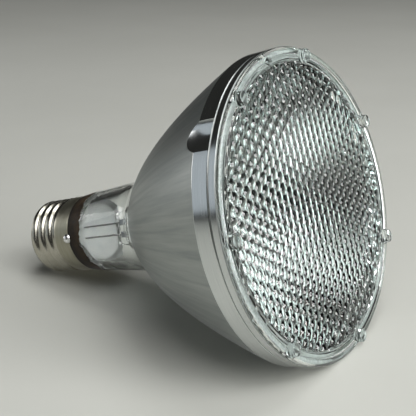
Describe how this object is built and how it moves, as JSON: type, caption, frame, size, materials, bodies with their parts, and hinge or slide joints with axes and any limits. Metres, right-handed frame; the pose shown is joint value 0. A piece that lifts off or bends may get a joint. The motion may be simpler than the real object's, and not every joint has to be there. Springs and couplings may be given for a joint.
{
  "type": "metal halide reflector bulb",
  "caption": "Long-neck reflector bulb: lens with hexagonal lenslets and feet, satin silvered bowl, clear neck, and a screw cap that turns into a lamp holder.",
  "frame": {"origin": "on the lamp's axis, in the plane of the tips of the lens's feet", "axes": "+Z along the lamp's axis from the lens to the screw cap"},
  "size_m": [0.0952, 0.0952, 0.1197],
  "materials": {
    "reflector_glass": "silvered inside, satin bowl with a polished band",
    "lens_glass": "clear pressed lenslets",
    "seal": "clear adhesive",
    "cap_metal": "nickel plated",
    "cement": "matte brown",
    "black_glass": "black",
    "contact_metal": "plain",
    "solder": "bright",
    "lead_wire": "dull",
    "quartz": "clear",
    "foil": "dull",
    "inner_wire": "dull",
    "arc_ceramic": "translucent white",
    "electrode": "dull",
    "frit": "glassy",
    "getter_metal": "dull"
  },
  "bodies": {
    "root": {"reflector": "reflector_glass", "lens": "lens_glass", "lens_seal": "seal", "screw_shell": "cap_metal", "cap_cement": "cement", "cap_insulator": "black_glass", "centre_contact": "contact_metal", "centre_solder": "solder", "side_solder": "solder", "live_lead": "lead_wire", "return_lead": "lead_wire", "burner_jacket": "quartz", "live_foil": "foil", "return_foil": "foil", "short_inner_wire": "inner_wire", "long_inner_wire": "inner_wire", "arc_tube": "arc_ceramic", "near_electrode": "electrode", "far_electrode": "electrode", "near_frit": "frit", "far_frit": "frit", "getter": "getter_metal"}
  },
  "joints": []
}
